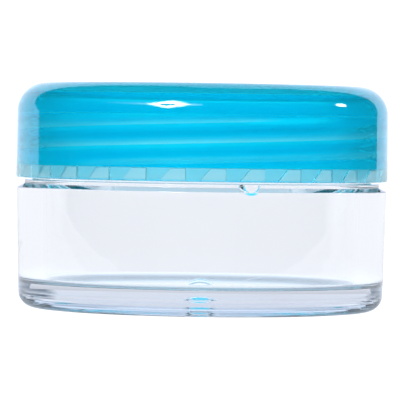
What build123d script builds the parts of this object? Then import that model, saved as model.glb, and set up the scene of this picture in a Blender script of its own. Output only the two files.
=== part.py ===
from build123d import *
import os

# A small round screw-lid sample jar, closed: clear body, tinted lid, clear sealing disc.
# Millimetres, +Z up. The origin is on the jar's axis, in the plane that the jar stands on.

# Overall
LID_RADIUS = 14.5
OVERALL_HEIGHT = 17.55

# Jar body
BODY_FOOT_RADIUS = 14.2
FOOT_CORNER = 1.3
RECESS_RADIUS = 11.6
RECESS_DEPTH = 0.88
RECESS_SLOPE = 0.25

# Shoulder, from the top of the wall up to the neck
SHOULDER_RADIUS = 14.42
SHOULDER_Z = 9.34
COLLAR_RADIUS = 13.85
COLLAR_TOP = 9.92
CHAMFER_HEIGHT = 0.31

# Neck and cavity
NECK_RADIUS = 13.2
RIM_Z = 16.0
RIM_ROUNDING = 0.15
MOUTH_RADIUS = 12.45
FLOOR_RADIUS = 12.15
FLOOR_Z = 1.95
FLOOR_FILLET = 0.45

# Moulding gate in the middle of the base: a dome inside, a dimple outside
DOME_RADIUS = 1.0
DOME_HEIGHT = 0.5
DIMPLE_RADIUS = 1.05
DIMPLE_HEIGHT = 0.45

# Half-round lug under the lid's edge, on the front of the shoulder
LUG_RADIUS = 0.87
LUG_ROOT = 13.5
LUG_FACE = 14.46
LUG_ANGLE = -75.2

# Thread: right-hand, two starts
STARTS = 2
LEAD = 3.0
RIDGE_ROOT_WIDTH = 0.7
RIDGE_CREST_WIDTH = 0.3
RIDGE_EMBED = 0.12
JAR_CREST = 13.5
JAR_THREAD_Z = 11.81
JAR_TURNS = 0.92
LID_THREAD_DROP = 0.75
LID_THREAD_ANGLE = 45

# Lid
LID_BOTTOM = 10.1
LID_TOP_RADIUS = 14.44
LID_CORNER = 2.2
LID_CROWN = 0.12
LID_WALL_INSIDE = 13.6
LID_STEP_RADIUS = 13.4
LID_STEP_Z = 15.1
LID_CREST = 13.3
LID_UNDERSIDE = 16.52
LID_INNER_CORNER = 0.3
LID_THREAD_Z = JAR_THREAD_Z - LID_THREAD_DROP + LEAD * LID_THREAD_ANGLE / 360
LID_TURNS = 1.2

# Ratchet ring inside the lid's lower edge, with sawtooth pockets
RING_RADIUS = 14.1
RING_TOP = 11.1
POCKETS = 30
POCKET_ANGLE = -2.8
POCKET_DEPTH_RADIUS = 14.3
POCKET_FOOT_WIDTH = 1.95
POCKET_HEAD_WIDTH = 1.1
POCKET_HEIGHT = 1.0

# Sealing disc between the rim and the lid
DISC_RADIUS = 13.18
DISC_BOTTOM = 16.03
DISC_THICKNESS = 0.45
DISC_EDGE = 0.08


def cap_radius(half_width, height):
    """Radius of the sphere whose cap has this half width and height."""
    return (half_width**2 + height**2) / (2 * height)


def thread_ridge(root, crest, first_z, turns):
    """One start of the thread: a trapezoid swept up a helix, from its root to its crest radius."""
    outward = 1 if crest > root else -1
    height = abs(crest - root)
    flank = (RIDGE_ROOT_WIDTH - RIDGE_CREST_WIDTH) / 2 / height
    buried_width = RIDGE_ROOT_WIDTH + 2 * RIDGE_EMBED * flank
    with BuildPart() as ridge:
        with BuildLine() as spiral:
            Helix(LEAD, turns * LEAD, root, center=(0, 0, first_z))
        start = Plane(origin=spiral.line @ 0, x_dir=(outward, 0, 0), z_dir=spiral.line % 0)
        with BuildSketch(start):
            with BuildLine():
                Polyline(
                    (-RIDGE_EMBED, -buried_width / 2),
                    (height, -RIDGE_CREST_WIDTH / 2),
                    (height, RIDGE_CREST_WIDTH / 2),
                    (-RIDGE_EMBED, buried_width / 2),
                    close=True,
                )
            make_face()
        sweep(path=spiral.line, is_frenet=True)
    return ridge.part


# Jar: one clear moulding with a thick base, a collar below the lid and a threaded neck
jar_thread = thread_ridge(NECK_RADIUS, JAR_CREST, JAR_THREAD_Z, JAR_TURNS)

with BuildPart() as jar:
    with BuildSketch(Plane.XZ) as jar_section:
        with BuildLine():
            dimple = RadiusArc(
                (0, RECESS_DEPTH + DIMPLE_HEIGHT),
                (DIMPLE_RADIUS, RECESS_DEPTH),
                cap_radius(DIMPLE_RADIUS, DIMPLE_HEIGHT),
            )
            outside = Polyline(
                dimple @ 1,
                (RECESS_RADIUS, RECESS_DEPTH),
                (RECESS_RADIUS + RECESS_SLOPE, 0),
                (BODY_FOOT_RADIUS, 0),
                (SHOULDER_RADIUS, SHOULDER_Z),
                (COLLAR_RADIUS, SHOULDER_Z + CHAMFER_HEIGHT),
                (COLLAR_RADIUS, COLLAR_TOP),
                (NECK_RADIUS, COLLAR_TOP),
                (NECK_RADIUS, RIM_Z),
                (MOUTH_RADIUS, RIM_Z),
                (FLOOR_RADIUS, FLOOR_Z),
                (DOME_RADIUS, FLOOR_Z),
            )
            dome = RadiusArc(
                outside @ 1,
                (0, FLOOR_Z + DOME_HEIGHT),
                -cap_radius(DOME_RADIUS, DOME_HEIGHT),
            )
            Line(dome @ 1, dimple @ 0)
        make_face()
        foot_corner = jar_section.vertices().sort_by_distance((BODY_FOOT_RADIUS, 0))[0]
        fillet(foot_corner, FOOT_CORNER)
        floor_corner = jar_section.vertices().sort_by_distance((FLOOR_RADIUS, FLOOR_Z))[0]
        fillet(floor_corner, FLOOR_FILLET)
        rim_corners = jar_section.vertices().sort_by_distance((NECK_RADIUS, RIM_Z))[0:2]
        fillet(rim_corners, RIM_ROUNDING)
    revolve(axis=Axis.Z)
    with PolarLocations(0, STARTS):
        add(jar_thread)
    with BuildSketch(Plane.XZ.rotated((0, 0, LUG_ANGLE + 90)).offset(LUG_ROOT)):
        with Locations((0, COLLAR_TOP)):
            Circle(LUG_RADIUS)
            Rectangle(2 * LUG_RADIUS, LUG_RADIUS, align=(Align.CENTER, Align.MIN), mode=Mode.SUBTRACT)
    extrude(amount=LUG_FACE - LUG_ROOT)

# Lid: a tinted cap with the matching thread and a ratchet ring inside its lower edge
lid_thread = thread_ridge(LID_WALL_INSIDE, LID_CREST, LID_THREAD_Z, LID_TURNS)

with BuildPart() as lid:
    with BuildSketch(Plane.XZ) as lid_section:
        with BuildLine():
            crown = RadiusArc(
                (0, OVERALL_HEIGHT),
                (LID_TOP_RADIUS, OVERALL_HEIGHT - LID_CROWN),
                cap_radius(LID_TOP_RADIUS, LID_CROWN),
            )
            Polyline(
                crown @ 1,
                (LID_RADIUS, LID_BOTTOM),
                (RING_RADIUS, LID_BOTTOM),
                (RING_RADIUS, RING_TOP),
                (LID_WALL_INSIDE, RING_TOP),
                (LID_WALL_INSIDE, LID_STEP_Z),
                (LID_STEP_RADIUS, LID_STEP_Z),
                (LID_STEP_RADIUS, LID_UNDERSIDE),
                (0, LID_UNDERSIDE),
                crown @ 0,
            )
        make_face()
        top_corner = lid_section.vertices().sort_by_distance((LID_TOP_RADIUS, OVERALL_HEIGHT))[0]
        fillet(top_corner, LID_CORNER)
        inner_corner = lid_section.vertices().sort_by_distance((LID_STEP_RADIUS, LID_UNDERSIDE))[0]
        fillet(inner_corner, LID_INNER_CORNER)
    revolve(axis=Axis.Z)
    with PolarLocations(0, STARTS, start_angle=LID_THREAD_ANGLE):
        add(lid_thread)
    with BuildSketch(Plane.YZ.offset(LID_WALL_INSIDE)):
        with BuildLine():
            Polyline(
                (-POCKET_FOOT_WIDTH / 2, LID_BOTTOM),
                (POCKET_FOOT_WIDTH / 2, LID_BOTTOM),
                (POCKET_FOOT_WIDTH / 2, LID_BOTTOM + POCKET_HEIGHT),
                (POCKET_FOOT_WIDTH / 2 - POCKET_HEAD_WIDTH, LID_BOTTOM + POCKET_HEIGHT),
                close=True,
            )
        make_face()
    with PolarLocations(0, POCKETS, start_angle=POCKET_ANGLE):
        extrude(amount=POCKET_DEPTH_RADIUS - LID_WALL_INSIDE, mode=Mode.SUBTRACT)

# Sealing disc: a flat clear washer without a hole, held between the rim and the lid
with BuildPart() as sealing_disc:
    with BuildSketch(Plane.XY.offset(DISC_BOTTOM)):
        Circle(DISC_RADIUS)
    extrude(amount=DISC_THICKNESS)
    chamfer(sealing_disc.edges().filter_by(GeomType.CIRCLE), DISC_EDGE)

os.makedirs("parts", exist_ok=True)
for name, piece in (("jar", jar), ("lid", lid), ("sealing_disc", sealing_disc)):
    piece.part.label = name
    export_step(piece.part, f"parts/{name}.step")
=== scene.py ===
import math

import bmesh
import bpy
import numpy as np
from mathutils import Matrix, Vector

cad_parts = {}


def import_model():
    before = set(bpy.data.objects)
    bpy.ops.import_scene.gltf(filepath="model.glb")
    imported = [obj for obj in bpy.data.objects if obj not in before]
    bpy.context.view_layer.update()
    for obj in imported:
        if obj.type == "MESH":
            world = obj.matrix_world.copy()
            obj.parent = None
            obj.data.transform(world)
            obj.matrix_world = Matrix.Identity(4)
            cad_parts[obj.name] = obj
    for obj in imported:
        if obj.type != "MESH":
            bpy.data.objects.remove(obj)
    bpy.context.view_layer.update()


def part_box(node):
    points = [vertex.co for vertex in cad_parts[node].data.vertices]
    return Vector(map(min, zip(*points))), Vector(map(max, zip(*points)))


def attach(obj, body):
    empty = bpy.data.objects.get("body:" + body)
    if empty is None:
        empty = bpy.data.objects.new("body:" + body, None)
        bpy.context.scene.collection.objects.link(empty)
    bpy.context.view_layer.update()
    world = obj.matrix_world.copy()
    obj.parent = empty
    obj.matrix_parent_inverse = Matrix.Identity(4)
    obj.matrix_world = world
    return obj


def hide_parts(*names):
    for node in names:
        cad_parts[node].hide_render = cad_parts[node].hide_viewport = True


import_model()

# A small clear screw-lid sample jar with a translucent blue lid, standing closed.
# Profiles are in millimetres as (radius, height) and are scaled to metres when a mesh is made.
MM = 0.001
TURN = 2 * math.pi
SHARP_ANGLE = math.radians(40)

# Sizes shared with the frame, in millimetres
jar_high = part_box("jar")[1]
lid_low, lid_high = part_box("lid")
disc_low, disc_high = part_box("sealing_disc")
SHOULDER_R = jar_high.x / MM
RIM_Z = jar_high.z / MM
LID_R = lid_high.x / MM
LID_BOTTOM = lid_low.z / MM
LID_TOP = lid_high.z / MM
DISC_R = disc_high.x / MM
DISC_BOTTOM = disc_low.z / MM
DISC_TOP = disc_high.z / MM

# Jar body
FOOT_R, FOOT_FILLET = 14.2, 1.3
RECESS_R, RECESS_Z, RECESS_SLOPE, RECESS_FILLET = 11.6, 0.88, 0.25, 0.1
DIMPLE_R, DIMPLE_H = 1.05, 0.45
SHOULDER_Z, SHOULDER_FILLET, CHAMFER_H = 9.34, 0.08, 0.31
COLLAR_R, COLLAR_Z, COLLAR_FILLET = 13.85, 9.92, 0.06
NECK_R, NECK_FILLET = 13.2, 0.12
MOUTH_R, RIM_FILLET = 12.45, 0.15
FLOOR_R, FLOOR_Z, FLOOR_FILLET = 12.15, 1.95, 0.45
DOME_R, DOME_H = 1.0, 0.5

# Half-round lug on the shoulder
LUG_R, LUG_Z, LUG_ROOT, LUG_FACE, LUG_ROUNDING = 0.87, COLLAR_Z, 13.5, 14.46, 0.3
LUG_ANGLE = math.radians(-75.2)
LUG_COLUMNS, LUG_REACH, LUG_GAP = 60, 1.25, 1.3

# Thread: two starts, with rounded ridges that fade in and out. A crest share over 1 makes the crest flatter.
STARTS, LEAD = 2, 3.0
RIDGE_HALF, RIDGE_FOOT, RIDGE_CREST = 0.35, 0.7, 1.08
TAPER = math.radians(25)
JAR_RELIEF, JAR_THREAD_Z, JAR_TURNS = 0.22, 11.81, 0.92
JAR_THREAD_LOW, JAR_THREAD_HIGH = COLLAR_Z + 0.15, RIM_Z - 0.2
LID_RELIEF, LID_DROP, LID_TURNS = 0.15, 0.75, 1.2
LID_THREAD_ANGLE = math.radians(45)
LID_THREAD_Z = JAR_THREAD_Z - LID_DROP + LEAD * LID_THREAD_ANGLE / TURN

# Lid
LID_TOP_R, LID_CORNER, CROWN = 14.44, 2.2, 0.12
LID_EDGE_FILLET = 0.12
CROWN_RINGS = (9.0, 6.0, 3.0, 1.0, 0.0)
LID_WALL_R = 13.6
STEP_R, STEP_Z, STEP_FILLET = 13.4, 15.1, 0.04
UNDERSIDE_Z, UNDERSIDE_FILLET = 16.52, 0.3
LID_THREAD_HIGH = UNDERSIDE_Z - 0.4

# Ratchet ring inside the lid's lower edge
RING_R, RING_Z = 14.1, 11.1
POCKETS, POCKET_R = 30, 14.3
POCKET_FOOT, POCKET_HEAD, POCKET_EDGE = 1.95, 1.1, 0.02
POCKET_ANGLE = math.radians(-2.8)

DISC_EDGE = 0.08

# How fine the meshes are
COLUMNS_PER_POCKET = 16
COLUMNS = POCKETS * COLUMNS_PER_POCKET
RING_STEP, LID_OUTSIDE_STEP = 0.03, 0.05
PLAIN_JAR_RINGS, PLAIN_TOP_RINGS = 12, 60
LID_TOP_PLAIN_R = 12

# What one pass through the lid's wall lets by, painted highlight streaks over the lid's ridges, and painted
# shade in the jar's base and foot ring
THICK_TINT = (0.003, 0.79, 1.0)
TOP_TINT = (0.12, 0.84, 1.0)
# Painted highlight: the pale streak over each lid ridge
RIDGE_PAINTED_HIGHLIGHT = (0.2, 0.9, 1.0)
RING_TINT = (0.36, 0.9, 1.0)
# Painted shade: the clear jar's base is darker, and its foot ring darker still
BASE_PAINTED_SHADE = (0.65, 0.665, 0.71)
FOOT_PAINTED_SHADE = (0.46, 0.51, 0.61)
PAINTED_SHADE_FADE = 0.3
BASE_PAINTED_SHADE_Z, FOOT_PAINTED_SHADE_Z = FLOOR_Z + 0.25, 0.95
TOP_TINT_R = 13
# Height and softness of the painted highlight streaks
STREAK_DROP, STREAK_EDGE, STREAK_HEIGHT = 0.03, 0.05, 0.6


# ---------------------------------------------------------------- profiles and lathe meshes

def smooth(x):
    x = np.clip(x, 0, 1)
    return x * x * (3 - 2 * x)


def half_turn(angle):
    """The same angle between minus and plus half a turn."""
    return (angle + math.pi) % TURN - math.pi


def cap(radius, height, base_z, steps=14):
    """Points down a spherical cap, from its top on the axis to its edge."""
    ball = (radius**2 + height**2) / (2 * height)
    angles = np.linspace(0, math.asin(radius / ball), steps)
    return [(ball * math.sin(a), base_z + height - ball * (1 - math.cos(a))) for a in angles]


def rounded(corners, step=8.0, support=0.02):
    """A line through (r, z, fillet) corners, with arcs at the fillets and a support point beside each arc."""
    points = []
    for k, (r, z, fillet) in enumerate(corners):
        here = np.array((r, z))
        if fillet == 0 or k in (0, len(corners) - 1):
            points.append(here)
            continue
        before = np.array(corners[k - 1][:2]) - here
        after = np.array(corners[k + 1][:2]) - here
        u, v = before / np.linalg.norm(before), after / np.linalg.norm(after)
        opening = math.acos(np.clip(np.dot(u, v), -1, 1))
        reach = fillet / math.tan(opening / 2)
        centre = here + (u + v) / np.linalg.norm(u + v) * fillet / math.sin(opening / 2)
        start, end = here + u * reach, here + v * reach
        first = math.atan2(*(start - centre)[::-1])
        turn = half_turn(math.atan2(*(end - centre)[::-1]) - first)
        count = max(3, math.ceil(abs(math.degrees(turn)) / step))
        points.append(start + u * support)
        for a in first + turn * np.linspace(0, 1, count + 1):
            points.append(centre + fillet * np.array((math.cos(a), math.sin(a))))
        points.append(end + v * support)
    return points


def filled(points, longest):
    """The same line with points added so that no stretch is longer than longest."""
    out = [np.array(points[0], float)]
    for point in points[1:]:
        point = np.array(point, float)
        count = max(1, math.ceil(np.linalg.norm(point - out[-1]) / longest))
        out += [out[-1] + (point - out[-1]) * k / count for k in range(1, count + 1)]
    return out


def bends(points, k):
    """True where the line turns, next to such a point, and at the line's ends."""
    for m in (k - 1, k, k + 1):
        if not 0 < m < len(points) - 1:
            return True
        before = np.array(points[m]) - np.array(points[m - 1])
        after = np.array(points[m + 1]) - np.array(points[m])
        if min(np.linalg.norm(before), np.linalg.norm(after)) < 1e-9:
            return True
        if np.dot(before, after) / np.linalg.norm(before) / np.linalg.norm(after) < 0.99999:
            return True
    return False


def ring(radii, z, angles):
    return np.stack([radii * np.cos(angles), radii * np.sin(angles), np.broadcast_to(z, angles.shape)], 1)


def paint(mesh, tints_and_painted_light):
    """Keep a colour for each point of the mesh: what one pass through the surface lets by, with any painted
    highlight or painted shade it is given.
    """
    # Each point's colour: the lid plastic's colour with painted highlight streaks, and painted shade in the
    # jar's base and foot ring
    colour = mesh.attributes.new("tint_and_painted_light", "FLOAT_COLOR", "POINT")
    rgba = np.concatenate([tints_and_painted_light, np.ones((len(tints_and_painted_light), 1))], 1)
    colour.data.foreach_set("color", rgba.astype(np.float32).ravel())


def new_object(name, mesh):
    ob = bpy.data.objects.new(name, mesh)
    bpy.context.scene.collection.objects.link(ob)
    return ob


def lathe(name, rings, tints_and_painted_light=None):
    """A closed mesh through rings of equal length. The first and last ring are shrunk to one point each."""
    n = len(rings[0])
    inner = rings[1:-1]
    co = np.concatenate([rings[0].mean(0)[None]] + inner + [rings[-1].mean(0)[None]]) * MM
    i = np.arange(n)
    j = (i + 1) % n
    quads = np.concatenate([np.stack([a + i, a + j, a + n + j, a + n + i], 1)
                            for a in 1 + n * np.arange(len(inner) - 1)])
    last = len(co) - 1
    start = 1 + n * (len(inner) - 1)
    tris = np.concatenate([np.stack([np.zeros_like(i), 1 + j, 1 + i], 1),
                           np.stack([start + i, start + j, np.full_like(i, last)], 1)])
    mesh = bpy.data.meshes.new(name)
    mesh.from_pydata(co.tolist(), [], quads.tolist() + tris.tolist())
    if tints_and_painted_light:
        paint(mesh, np.concatenate([tints_and_painted_light[0][:1]] + tints_and_painted_light[1:-1] + [tints_and_painted_light[-1][:1]]))
    mesh.shade_smooth()
    mesh.set_sharp_from_angle(angle=SHARP_ANGLE)
    mesh.validate()
    return new_object(name, mesh)


def tube(name, rings, tints_and_painted_light, outer_count):
    """A closed mesh through rings, back to the first. Faces past the outer rings get the second material."""
    n = len(rings[0])
    co = np.concatenate(rings) * MM
    i = np.arange(n)
    j = (i + 1) % n
    faces = []
    for k in range(len(rings)):
        a, b = k * n, ((k + 1) % len(rings)) * n
        faces.append(np.stack([a + i, a + j, b + j, b + i], 1))
    mesh = bpy.data.meshes.new(name)
    mesh.from_pydata(co.tolist(), [], np.concatenate(faces).tolist())
    paint(mesh, np.concatenate(tints_and_painted_light))
    inner = np.repeat(np.arange(len(rings)) >= outer_count - 1, n)
    inner[-n:] = False
    mesh.polygons.foreach_set("material_index", inner.astype(np.int32))
    ob = new_object(name, mesh)
    bm = bmesh.new()
    bm.from_mesh(mesh)
    axis = [v for v in bm.verts if abs(v.co.x) < 1e-9 and abs(v.co.y) < 1e-9]
    bmesh.ops.remove_doubles(bm, verts=axis, dist=1e-7)
    bmesh.ops.dissolve_degenerate(bm, dist=1e-9, edges=bm.edges)
    bm.to_mesh(mesh)
    bm.free()
    mesh.shade_smooth()
    mesh.set_sharp_from_angle(angle=SHARP_ANGLE)
    return ob


# ---------------------------------------------------------------- thread

def along_starts(angles, first_angle, turns):
    """For every start and lap: how far along the helix each angle is, and how far the ridge has faded in."""
    for start in range(STARTS):
        along = (angles - first_angle - start * TURN / STARTS) % TURN
        for lap in range(math.ceil(turns) + 1):
            run = along + lap * TURN
            ends = smooth(run / TAPER) * smooth((turns * TURN - run) / TAPER)
            yield run, np.where(run < turns * TURN, ends, 0)


def ridge(angles, z, first_angle, first_z, turns):
    """Share of the thread's height at each angle and height, for all its starts: a rounded ridge."""
    best = np.zeros_like(angles)
    for run, ends in along_starts(angles, first_angle, turns):
        off = np.abs(z - first_z - LEAD * run / TURN)
        best = np.maximum(best, smooth(RIDGE_CREST * (1 - off / RIDGE_FOOT)) * ends)
    return best


def jar_ridge(angles, z):
    return ridge(angles, z, 0.0, JAR_THREAD_Z, JAR_TURNS)


def lid_ridge(angles, z):
    return ridge(angles, z, LID_THREAD_ANGLE, LID_THREAD_Z, LID_TURNS)


def lid_painted_highlight_streak(angles, z):
    """Painted highlight: a pale streak over each lid ridge, standing for what is seen through the wall: sharp
    below, fading up, cut by the step.
    """
    best = np.zeros_like(angles)
    for run, ends in along_starts(angles, LID_THREAD_ANGLE, LID_TURNS):
        above = z - (LID_THREAD_Z + LEAD * run / TURN - RIDGE_HALF)
        shape = smooth((above + STREAK_DROP) / STREAK_EDGE) * (1 - smooth(above / STREAK_HEIGHT))
        best = np.maximum(best, shape * ends)
    return best * float(smooth((STEP_Z - z) / STREAK_EDGE + 1))


# ---------------------------------------------------------------- jar

def jar_profile():
    """The line from the dimple's top, round the outside, to the dome's top, with fewer points where plain."""
    under = cap(DIMPLE_R, DIMPLE_H, RECESS_Z)
    outside = rounded([
        (DIMPLE_R, RECESS_Z, 0),
        (RECESS_R, RECESS_Z, RECESS_FILLET),
        (RECESS_R + RECESS_SLOPE, 0, RECESS_FILLET),
        (FOOT_R, 0, FOOT_FILLET),
        (SHOULDER_R, SHOULDER_Z, SHOULDER_FILLET),
        (COLLAR_R, SHOULDER_Z + CHAMFER_H, COLLAR_FILLET),
        (COLLAR_R, COLLAR_Z, COLLAR_FILLET),
        (NECK_R, COLLAR_Z, NECK_FILLET),
        (NECK_R, RIM_Z, RIM_FILLET),
        (MOUTH_R, RIM_Z, RIM_FILLET),
        (FLOOR_R, FLOOR_Z, FLOOR_FILLET),
        (DOME_R, FLOOR_Z, 0),
    ])
    dome = cap(DOME_R, DOME_H, FLOOR_Z)[::-1]
    line = [*filled(under, 1), *filled(outside, RING_STEP), *filled(dome, 1)]
    detailed_r, detailed_z = NECK_R - 0.02, LUG_Z - LUG_R - 0.1
    kept = []
    for k, (r, z) in enumerate(line):
        detailed = r > detailed_r and z > detailed_z
        if detailed or k % PLAIN_JAR_RINGS == 0 or bends(line, k):
            kept.append((r, z))
    return kept


def jar_painted_shade(r, z):
    """Painted shade: darker in the base outside the recess, and darker still in the foot ring."""
    if r <= RECESS_R:
        return np.ones(3)
    base = smooth((BASE_PAINTED_SHADE_Z - z) / PAINTED_SHADE_FADE)
    foot = smooth((FOOT_PAINTED_SHADE_Z - z) / PAINTED_SHADE_FADE)
    tint_and_painted_light = 1 + (np.array(BASE_PAINTED_SHADE) - 1) * base
    return tint_and_painted_light + (np.array(FOOT_PAINTED_SHADE) - tint_and_painted_light) * foot


def jar_mesh():
    lug_half = LUG_R / SHOULDER_R
    fine = LUG_ANGLE + np.linspace(-LUG_REACH, LUG_REACH, LUG_COLUMNS) * lug_half
    even = np.linspace(0, TURN, COLUMNS, endpoint=False)
    even = even[np.abs(half_turn(even - LUG_ANGLE)) > LUG_GAP * lug_half]
    angles = np.sort(np.concatenate([even, fine % TURN]))
    around = half_turn(angles - LUG_ANGLE)
    rings, tints_and_painted_light = [], []
    for r, z in jar_profile():
        radii = np.full_like(angles, r)
        if r >= NECK_R - 0.001 and JAR_THREAD_LOW < z < JAR_THREAD_HIGH:
            radii = radii + JAR_RELIEF * jar_ridge(angles, z)
        if r > LUG_ROOT and z < LUG_Z + 0.01:
            away = np.hypot(around * SHOULDER_R, z - LUG_Z)
            radii = radii + max(LUG_FACE - r, 0) * smooth((LUG_R - away) / LUG_ROUNDING)
        rings.append(ring(radii, z, angles))
        # Painted shade in the base and the foot ring, kept on the points
        tints_and_painted_light.append(np.tile(jar_painted_shade(r, z), (len(angles), 1)))
    return lathe("jar_moulding", rings, tints_and_painted_light)


# ---------------------------------------------------------------- lid

def pocket_columns(z):
    """Column angles and the pocket share at height z: each pocket has an upright and a slanted side."""
    share = np.clip((z - LID_BOTTOM) / (RING_Z - LID_BOTTOM), 0, 1)
    width = (POCKET_FOOT + (POCKET_HEAD - POCKET_FOOT) * share) / RING_R
    pitch = TURN / POCKETS
    right = POCKET_FOOT / 2 / RING_R
    left = right - width
    edge = POCKET_EDGE / RING_R
    half = COLUMNS_PER_POCKET // 2
    inside = np.linspace(left + edge, right - edge, half)
    land = np.linspace(right + edge, left + pitch - edge, half)
    cell = np.concatenate([inside, land])
    angles = (POCKET_ANGLE + cell[None] + pitch * np.arange(POCKETS)[:, None]).ravel()
    return angles, np.tile(np.concatenate([np.ones(half), np.zeros(half)]), POCKETS)


def wall_tint_with_painted_highlight(angles, r, z):
    """What one pass through the lid's wall lets by: more in the top and the ratchet ring, with painted
    highlight streaks over the ridges.
    """
    top = float(smooth(TOP_TINT_R - r))
    tint_and_painted_light = np.tile(np.array(THICK_TINT) * (1 - top) + np.array(TOP_TINT) * top, (len(angles), 1))
    # Painted highlight streaks over the ridges
    tint_and_painted_light += (np.array(RIDGE_PAINTED_HIGHLIGHT) - tint_and_painted_light) * lid_painted_highlight_streak(angles, z)[:, None]
    thin = float(smooth((RING_Z + 0.03 - z) / 0.06))
    return tint_and_painted_light + (np.array(RING_TINT) - tint_and_painted_light) * thin


def pocket_tint(deep):
    """The ratchet ring's colour on the lands, and none in the pockets."""
    return np.array(RING_TINT) + (1 - np.array(RING_TINT)) * deep[:, None]


def lid_outside():
    """The line up the outside, from the bottom edge to the middle of the top."""
    ball = (LID_TOP_R**2 + CROWN**2) / (2 * CROWN)
    crown = [(r, LID_TOP - ball + math.sqrt(ball**2 - r**2)) for r in CROWN_RINGS]
    wall = filled(rounded([
        (RING_R, LID_BOTTOM, 0),
        (LID_R, LID_BOTTOM, LID_EDGE_FILLET),
        (LID_TOP_R, LID_TOP - CROWN, LID_CORNER),
        (*crown[0], 0),
    ], step=3.0), LID_OUTSIDE_STEP)
    return [point for point in wall[1:-1] if point[0] > LID_TOP_PLAIN_R] + [wall[-1]] + crown[1:]


def lid_inside():
    """The line from the middle of the underside out and down to the ratchet ring."""
    line = filled(rounded([
        (0, UNDERSIDE_Z, 0),
        (STEP_R, UNDERSIDE_Z, UNDERSIDE_FILLET),
        (STEP_R, STEP_Z, STEP_FILLET),
        (LID_WALL_R, STEP_Z, STEP_FILLET),
        (LID_WALL_R, RING_Z + 0.02, 0),
    ]), RING_STEP)
    kept = []
    for k, (r, z) in enumerate(line):
        plain = r <= STEP_R - 0.001 and z > UNDERSIDE_Z - 0.001
        if not plain or k % PLAIN_TOP_RINGS == 0:
            kept.append((r, z))
    return kept


def lid_mesh():
    flat, _ = pocket_columns(RING_Z)
    rings, tints_and_painted_light = [], []

    def add_ring(radii, z, angles, tint_and_painted_light):
        rings.append(ring(radii, z, angles))
        tints_and_painted_light.append(tint_and_painted_light)

    for r, z in lid_outside():
        angles = pocket_columns(max(z, LID_BOTTOM))[0] if z < RING_Z else flat
        add_ring(np.full_like(angles, r), z, angles, wall_tint_with_painted_highlight(angles, r, z))
    outer_count = len(rings)
    for r, z in lid_inside():
        radii = np.full_like(flat, r)
        if r > STEP_R - 0.001 and z < LID_THREAD_HIGH:
            radii = np.minimum(radii, LID_WALL_R - LID_RELIEF * lid_ridge(flat, z))
        add_ring(radii, z, flat, wall_tint_with_painted_highlight(flat, r, z))
    add_ring(np.full_like(flat, LID_WALL_R + 0.02), RING_Z, flat, wall_tint_with_painted_highlight(flat, LID_WALL_R, RING_Z))
    # The ring's flat head, then the pockets down to just above the bottom edge
    head = RING_Z - 0.02
    lower = np.linspace(head - 0.1, LID_BOTTOM + 0.08, 10)
    for z, depth in [(RING_Z - 0.001, 0), (head, 0), (head - 0.03, 1)] + [(z, 1) for z in lower]:
        angles, deep = pocket_columns(z)
        add_ring(RING_R + (POCKET_R - RING_R) * deep * depth, z, angles, pocket_tint(deep * depth))
    angles, deep = pocket_columns(LID_BOTTOM)
    add_ring(RING_R + 0.04 + (POCKET_R - RING_R) * deep, LID_BOTTOM, angles, pocket_tint(deep))
    return tube("lid_moulding", rings, tints_and_painted_light, outer_count)


# ---------------------------------------------------------------- sealing disc

def disc_mesh():
    line = rounded([
        (0, DISC_BOTTOM, 0),
        (DISC_R, DISC_BOTTOM, DISC_EDGE),
        (DISC_R, DISC_TOP, DISC_EDGE),
        (0, DISC_TOP, 0),
    ])
    angles = np.linspace(0, TURN, COLUMNS, endpoint=False)
    return lathe("sealing_disc_sheet", [ring(np.full_like(angles, r), z, angles) for r, z in line])


# ---------------------------------------------------------------- materials

# How rough a scratch is, and the height of the flow ripples in metres
MARK_ROUGHNESS, RIPPLE_HEIGHT = 0.15, 0.000004

# The two ends of the clear plastic's faint cloudiness
CLEAR_LOW, CLEAR_HIGH = (0.97, 0.98, 1.0, 1.0), (1.0, 1.0, 1.0, 1.0)


def add_node(tree, kind, inputs=(), **settings):
    """A shader node with its settings, and its inputs by name or number: values or other nodes' outputs."""
    node = tree.nodes.new("ShaderNode" + kind)
    for key, value in settings.items():
        setattr(node, key, value)
    for key, value in dict(inputs).items():
        if isinstance(value, bpy.types.NodeSocket):
            tree.links.new(value, node.inputs[key])
        else:
            node.inputs[key].default_value = value
    return node


def calc(tree, operation, *values):
    return add_node(tree, "Math", dict(enumerate(values)), operation=operation).outputs[0]


def blend(tree, factor, a, b, **settings):
    """Colour a where the factor is 0 and colour b where it is 1."""
    node = add_node(tree, "Mix", {"Factor": factor, "A": a, "B": b}, data_type="RGBA", **settings)
    return node.outputs["Result"]


def ramp(tree, value, low, high, start=0.0, end=1.0):
    """Straight from start at low to end at high, and flat past both."""
    return add_node(tree, "MapRange", {0: value, 1: low, 2: high, 3: start, 4: end}).outputs[0]


def scratches(tree, place, scale, stretch, width):
    """Thin broken lines: 1 on a scratch, 0 beside it."""
    stretched = add_node(tree, "Mapping", {"Vector": place, "Scale": stretch}).outputs[0]
    lines = add_node(tree, "TexNoise", {"Vector": stretched, "Scale": scale, "Detail": 1.0}).outputs[0]
    off = calc(tree, "ABSOLUTE", calc(tree, "SUBTRACT", lines, 0.5))
    line = ramp(tree, off, 0.0, width, 1.0, 0.0)
    patches = add_node(tree, "TexNoise", {"Vector": place, "Scale": scale * 0.6}).outputs[0]
    return calc(tree, "MULTIPLY", line, ramp(tree, patches, 0.56, 0.66))


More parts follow.
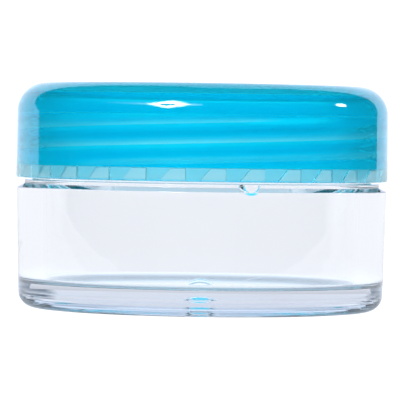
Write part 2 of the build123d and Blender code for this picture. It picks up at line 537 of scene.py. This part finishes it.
def clear_plastic(name, ior, roughness, tinted=True, uneven=0.02):
    """Moulded see-through plastic: faint flow ripples, uneven gloss and fine handling scratches."""
    mat = bpy.data.materials.new(name)
    mat.use_nodes = True
    tree = mat.node_tree
    shader = tree.nodes["Principled BSDF"]
    shader.inputs["Transmission Weight"].default_value = 1.0
    shader.inputs["IOR"].default_value = ior
    place = add_node(tree, "TexCoord").outputs["Object"]
    flow = add_node(tree, "TexNoise", {"Vector": place, "Scale": 180.0, "Detail": 2.0}).outputs[0]
    cloudy = add_node(tree, "TexNoise", {"Vector": place, "Scale": 700.0, "Detail": 3.0}).outputs[0]
    marks = calc(tree, "MAXIMUM", scratches(tree, place, 260.0, (1.0, 1.0, 0.25), 0.006),
                 scratches(tree, place, 330.0, (0.4, 0.4, 1.0), 0.005))
    gloss = calc(tree, "ADD", calc(tree, "MULTIPLY", cloudy, uneven),
                 calc(tree, "MULTIPLY", marks, MARK_ROUGHNESS))
    tree.links.new(calc(tree, "ADD", gloss, roughness), shader.inputs["Roughness"])
    bump = add_node(tree, "Bump", {"Strength": 1.0, "Distance": RIPPLE_HEIGHT, "Height": flow}).outputs[0]
    tree.links.new(bump, shader.inputs["Normal"])
    if tinted:
        depth = calc(tree, "ADD", calc(tree, "MULTIPLY", flow, 0.3), 0.85)
        # The points' colour, with painted highlight streaks on the lid and painted shade in the jar's base
        # and foot ring
        point_tint_and_painted_light = add_node(tree, "Attribute", attribute_name="tint_and_painted_light").outputs["Color"]
        colour = add_node(tree, "Gamma", {"Color": point_tint_and_painted_light, "Gamma": depth}).outputs[0]
    else:
        colour = blend(tree, cloudy, CLEAR_LOW, CLEAR_HIGH)
    tree.links.new(colour, shader.inputs["Base Color"])
    return mat


jar_mat = clear_plastic("clear_polystyrene", 1.59, 0.0)
lid_mat = clear_plastic("blue_polystyrene", 1.5, 0.01)
lid_inner_mat = clear_plastic("blue_polystyrene_inside", 1.5, 0.35, uneven=0.1)
disc_mat = clear_plastic("clear_polyethylene", 1.51, 0.05, tinted=False, uneven=0.08)

jar = jar_mesh()
jar.data.materials.append(jar_mat)
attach(jar, "jar")
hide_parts("jar")

lid = lid_mesh()
lid.data.materials.append(lid_mat)
lid.data.materials.append(lid_inner_mat)
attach(lid, "lid")
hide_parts("lid")

disc = disc_mesh()
disc.data.materials.append(disc_mat)
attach(disc, "sealing_disc")
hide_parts("sealing_disc")


# ---------------------------------------------------------------- studio
# Directions are in degrees: azimuth from +Y towards +X, and level above the horizon. Lengths are in metres.

PURE_WHITE = (1.1, 1.1, 1.1, 1)
STRAIGHT_DOWN = -90.0

# The sweep mirrored in the jar. Each side edge starts at an azimuth on the horizon and moves with the level.
SWEEP_WHITE = (1.0, 1.1, 1.35, 1)
SWEEP_LEFT, SWEEP_RIGHT, SWEEP_TOP = (-59.0, 0.85), (42.0, -0.25), 68.0
SWEEP_SIDE_SOFT, SWEEP_TOP_SOFT = 0.5, 2.0
ROOM_MIRRORED = (0.01, 0.01, 0.01, 1)

# What shows through the jar: the wall behind it, the ceiling, and the dim sides of the room
BACK_AZIMUTH, BACK_SOFT = (-62.0, 46.0), 4.0
CEILING_LEVEL = (6.0, 14.0)
SKY_CHANGE_LEVEL, SKY_SOFT = 20.0, 8.0
SKY_LOW = (1.04, 1.1, 1.19, 1)
SKY_HIGH = (1.05, 1.2, 1.4, 1)
ROOM_THROUGH = (0.1, 0.15, 0.22, 1)

# The sheet as the jar refracts it: shaded under the jar, lightest round it, and white again far away
FLOOR_RADIUS, FLOOR_DROP = 3.0, 0.00002
FLOOR_NEAR, NEAR_FADE = (0.5, 0.57, 0.65, 1), (0.0135, 0.022)
FLOOR_MIDDLE, MIDDLE_FADE = (1.0, 1.1, 1.25, 1), (0.04, 0.08)
FLOOR_FAR, FAR_FADE = (0.885, 0.91, 0.97, 1), (1.2, 2.4)
FLOOR_PAINT = (0.02, 0.02, 0.02, 1)

# Each lamp's glow: azimuth, level, half width and half height, then its roundness and strength.
# The left one is a soft umbrella with faint arms, with the lamp head as a shadow in its middle.
LAMPS = (
    ((-158.0, 29.0, 16.0, 17.0), 1.2, 70.0),
    ((-158.0, 29.0, 60.0, 18.0), 0.6, 10.0),
    ((78.0, 24.0, 5.5, 5.0), 2.0, 30.0),
)
LAMP_SHADOW, SHADOW_ROUNDNESS, SHADOW_EDGE = (-157.0, 27.0, 6.0, 5.0), 1.5, 4.0

# Sensor width and lens are in millimetres
SENSOR, LENS, CLIP_START = 36, 308.5, 0.01
EYE, AIM = (0, -0.268, 0.0135), (-0.00012, 0, 0.00848)
CAMERA_ROLL = math.radians(0.85)


def floor():
    """White sheet under the jar. Only the camera sees it pure white; what the jar refracts is softer."""
    bpy.ops.mesh.primitive_circle_add(
        vertices=96, radius=FLOOR_RADIUS, fill_type="NGON", location=(0, 0, -FLOOR_DROP))
    ob = bpy.context.object
    ob.name = "studio_floor"
    mat = bpy.data.materials.new("studio_white")
    mat.use_nodes = True
    tree = mat.node_tree
    shader = tree.nodes["Principled BSDF"]
    shader.inputs["Base Color"].default_value = FLOOR_PAINT
    shader.inputs["Roughness"].default_value = 1.0
    shader.inputs["Specular IOR Level"].default_value = 0.0
    shader.inputs["Emission Strength"].default_value = 1.0
    place = add_node(tree, "TexCoord").outputs["Object"]
    away = add_node(tree, "VectorMath", {0: place}, operation="LENGTH").outputs["Value"]
    shade = blend(tree, ramp(tree, away, *MIDDLE_FADE, 1.0, 0.0), FLOOR_FAR, FLOOR_MIDDLE)
    shade = blend(tree, ramp(tree, away, *NEAR_FADE, 1.0, 0.0), shade, FLOOR_NEAR)
    shade = blend(tree, ramp(tree, away, *FAR_FADE), shade, SKY_LOW)
    seen = add_node(tree, "LightPath").outputs["Is Camera Ray"]
    tree.links.new(blend(tree, seen, shade, PURE_WHITE), shader.inputs["Emission Color"])
    ob.data.materials.append(mat)


def between(tree, value, low, high, soft):
    """1 between low and high, 0 outside, with soft edges."""
    rising = ramp(tree, value, low - soft, low + soft)
    return calc(tree, "MULTIPLY", rising, ramp(tree, value, high - soft, high + soft, 1.0, 0.0))


def star(tree, azimuth, level, place, power):
    """How far into a lamp's glow a direction is: 1 in its middle, 0 at its edge, pointed if power is low."""
    lamp_azimuth, lamp_level, half_wide, half_high = place
    across = calc(tree, "DIVIDE", calc(tree, "SUBTRACT", azimuth, lamp_azimuth), half_wide)
    up = calc(tree, "DIVIDE", calc(tree, "SUBTRACT", level, lamp_level), half_high)
    out = calc(tree, "ADD", calc(tree, "POWER", calc(tree, "ABSOLUTE", across), power),
               calc(tree, "POWER", calc(tree, "ABSOLUTE", up), power))
    return calc(tree, "MAXIMUM", calc(tree, "SUBTRACT", 1.0, out), 0.0)


def sweep_share(tree, azimuth, level):
    """1 on the white sweep, whose side edges lean with the level, and 0 beside it."""
    above = calc(tree, "MAXIMUM", level, 0.0)
    from_left = calc(tree, "SUBTRACT", azimuth, calc(tree, "MULTIPLY", above, SWEEP_LEFT[1]))
    from_right = calc(tree, "SUBTRACT", azimuth, calc(tree, "MULTIPLY", above, SWEEP_RIGHT[1]))
    left, right, soft = SWEEP_LEFT[0], SWEEP_RIGHT[0], SWEEP_SIDE_SOFT
    past_left = ramp(tree, from_left, left - soft, left + soft)
    before_right = ramp(tree, from_right, right - soft, right + soft, 1.0, 0.0)
    below_top = between(tree, level, STRAIGHT_DOWN, SWEEP_TOP, SWEEP_TOP_SOFT)
    return calc(tree, "MULTIPLY", calc(tree, "MULTIPLY", past_left, before_right), below_top)


def world():
    """White sweep behind the jar, a dim room in front, two lamps, and white where the camera looks."""
    sky = bpy.data.worlds.new("studio")
    bpy.context.scene.world = sky
    sky.use_nodes = True
    tree = sky.node_tree
    way = add_node(tree, "TexCoord").outputs["Generated"]
    x, y, z = add_node(tree, "SeparateXYZ", {0: way}).outputs
    flat = calc(tree, "SQRT", calc(tree, "ADD", calc(tree, "MULTIPLY", x, x), calc(tree, "MULTIPLY", y, y)))
    degrees = 180 / math.pi
    azimuth = calc(tree, "MULTIPLY", calc(tree, "ARCTAN2", x, y), degrees)
    level = calc(tree, "MULTIPLY", calc(tree, "ARCTAN2", z, flat), degrees)

    low_sky = between(tree, level, STRAIGHT_DOWN, SKY_CHANGE_LEVEL, SKY_SOFT)
    behind = between(tree, azimuth, *BACK_AZIMUTH, BACK_SOFT)
    lit_share = calc(tree, "MAXIMUM", behind, ramp(tree, level, *CEILING_LEVEL))
    through = blend(tree, lit_share, ROOM_THROUGH, blend(tree, low_sky, SKY_HIGH, SKY_LOW))

    mirrored = blend(tree, sweep_share(tree, azimuth, level), ROOM_MIRRORED, SWEEP_WHITE)
    for place, power, strength in LAMPS:
        glow = calc(tree, "MULTIPLY", star(tree, azimuth, level, place, power), strength)
        mirrored = blend(tree, 1.0, mirrored, glow, blend_type="ADD")
    shadow = calc(tree, "MULTIPLY", star(tree, azimuth, level, LAMP_SHADOW, SHADOW_ROUNDNESS), SHADOW_EDGE)
    mirrored = blend(tree, calc(tree, "MINIMUM", shadow, 1.0), mirrored, ROOM_MIRRORED)

    rays = add_node(tree, "LightPath").outputs
    colour = blend(tree, rays["Is Transmission Ray"], mirrored, through)
    colour = blend(tree, rays["Is Camera Ray"], colour, PURE_WHITE)
    tree.links.new(colour, tree.nodes["Background"].inputs["Color"])


def camera():
    cam = bpy.data.cameras.new("camera")
    cam.sensor_width = SENSOR
    cam.lens = LENS
    cam.clip_start = CLIP_START
    ob = new_object("camera", cam)
    eye = Vector(EYE)
    facing = (Vector(AIM) - eye).to_track_quat("-Z", "Y").to_matrix().to_4x4()
    ob.matrix_world = Matrix.Translation(eye) @ facing @ Matrix.Rotation(CAMERA_ROLL, 4, "Z")
    bpy.context.scene.camera = ob


floor()
world()
camera()
bpy.context.scene.view_settings.view_transform = "Standard"
bpy.context.scene.cycles.max_bounces = 32
bpy.context.scene.cycles.transmission_bounces = 32
bpy.context.scene.cycles.glossy_bounces = 16
